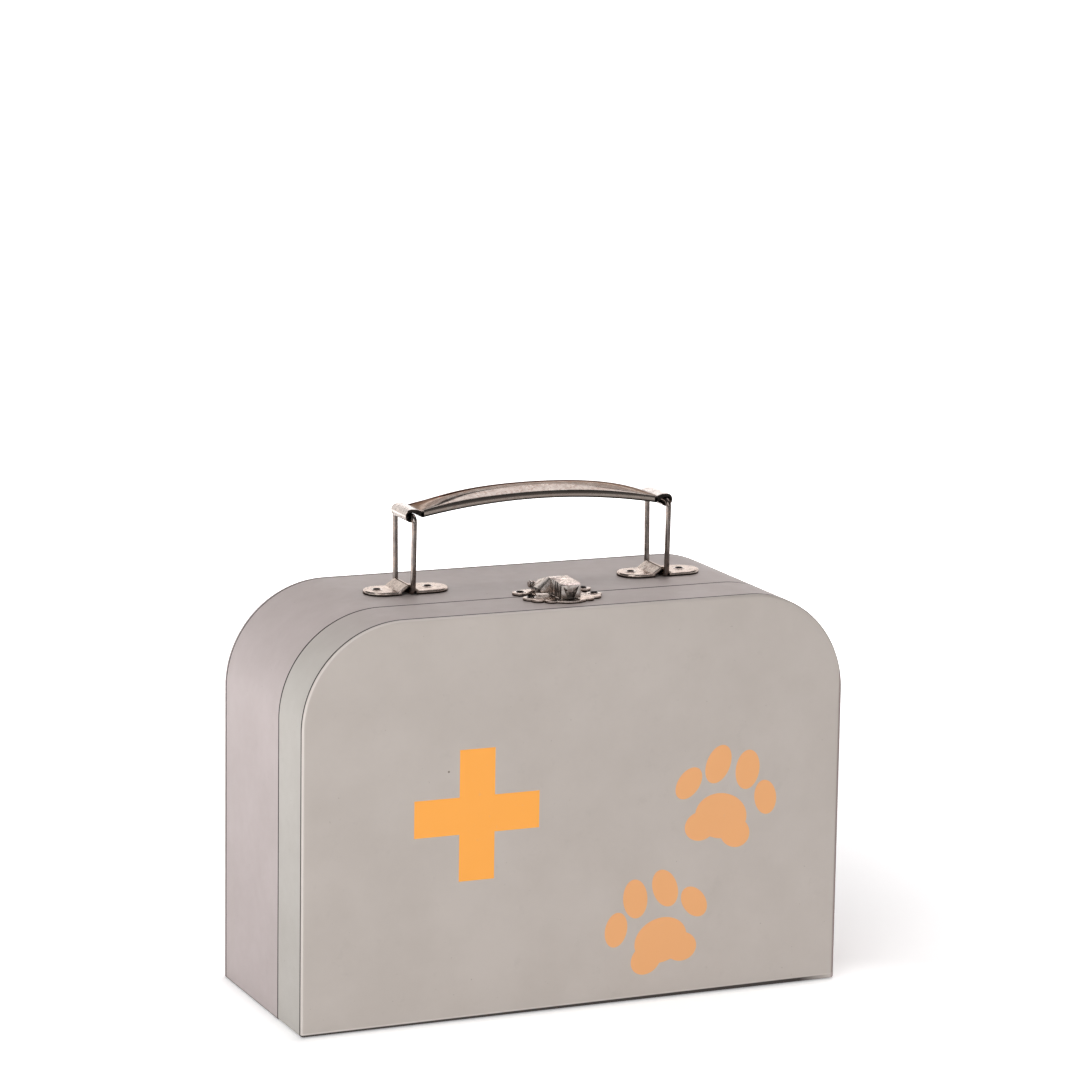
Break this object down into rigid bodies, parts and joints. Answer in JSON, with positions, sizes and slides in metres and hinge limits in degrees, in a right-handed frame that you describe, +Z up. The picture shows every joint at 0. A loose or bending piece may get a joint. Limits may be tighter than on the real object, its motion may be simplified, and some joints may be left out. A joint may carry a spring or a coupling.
{
  "type": "toy vet case",
  "caption": "Small toy suitcase of covered board with round upper corners, a lid on a tape hinge, a snap catch and a folding wire handle.",
  "frame": {"origin": "on the surface that the case stands on, under the middle of its width and depth", "axes": "+X along the width, to the right as seen from the front; -Y is the printed front panel of the lid; +Z up"},
  "size_m": [0.25, 0.097, 0.2206],
  "materials": {
    "covered_board": "grey board covered with smooth warm grey satin paper",
    "printed_board": "grey board covered with smooth warm grey satin paper, with an orange cross and peach paw prints",
    "grey_board": "raw grey board",
    "lining_paper_board": "thin board covered with matt off-white paper",
    "lining_paper": "matt off-white paper",
    "hinge_tape": "woven grey bookbinding tape",
    "nickel": "pressed and bent steel with bright nickel plating",
    "spring_steel": "bare spring steel strip"
  },
  "bodies": {
    "base": {"base_back_panel": "covered_board", "base_rim": "covered_board", "base_rim_joint_strip": "grey_board", "base_collar_left": "lining_paper_board", "base_collar_right": "lining_paper_board", "base_lining_sheet": "lining_paper", "base_hinge_tape": "hinge_tape", "left_handle_plate": "nickel", "right_handle_plate": "nickel", "catch_base_plate": "nickel", "catch_pin": "nickel", "catch_spring": "spring_steel", "left_handle_outer_rivet": "nickel", "left_handle_inner_rivet": "nickel", "right_handle_outer_rivet": "nickel", "right_handle_inner_rivet": "nickel", "left_catch_base_rivet": "nickel", "right_catch_base_rivet": "nickel", "left_handle_outer_washer": "nickel", "left_handle_inner_washer": "nickel", "right_handle_outer_washer": "nickel", "right_handle_inner_washer": "nickel", "left_catch_base_washer": "nickel", "right_catch_base_washer": "nickel"},
    "lid": {"lid_front_panel": "printed_board", "lid_rim": "covered_board", "lid_rim_joint_strip": "grey_board", "lid_lining_sheet": "lining_paper", "lid_hinge_tape": "hinge_tape", "catch_strike_plate": "nickel", "left_strike_rivet": "nickel", "right_strike_rivet": "nickel", "left_strike_washer": "nickel", "right_strike_washer": "nickel"},
    "catch_lever": {"catch_lever": "nickel"},
    "left_link": {"left_wire_link": "nickel"},
    "handle_grip": {"handle_grip": "nickel"},
    "right_link": {"right_wire_link": "nickel"}
  },
  "joints": [
    {"name": "lid_hinge", "type": "hinge", "parent": "base", "child": "lid", "pos_m": [0, -0.0195, 0], "axis": [1, 0, 0], "range_deg": [0, 170]},
    {"name": "catch_lever_hinge", "type": "hinge", "parent": "base", "child": "catch_lever", "pos_m": [0.0005, -0.0131, 0.1798], "axis": [-1, 0, 0], "range_deg": [0, 95]},
    {"name": "left_link_swing", "type": "hinge", "parent": "base", "child": "left_link", "pos_m": [-0.0583, 0.0073, 0.1775], "axis": [0, 1, 0], "range_deg": [-80, 80]},
    {"name": "grip_turn", "type": "hinge", "parent": "left_link", "child": "handle_grip", "pos_m": [-0.0583, 0.0073, 0.2104], "axis": [0, 1, 0], "range_deg": [-80, 80]},
    {"name": "right_link_swing", "type": "hinge", "parent": "base", "child": "right_link", "pos_m": [0.0609, 0.0073, 0.1775], "axis": [0, 1, 0], "range_deg": [-80, 80]}
  ],
  "couplings": [
    {"joint": "grip_turn", "follows": "left_link_swing", "ratio": -1},
    {"joint": "right_link_swing", "follows": "left_link_swing", "ratio": 1}
  ]
}
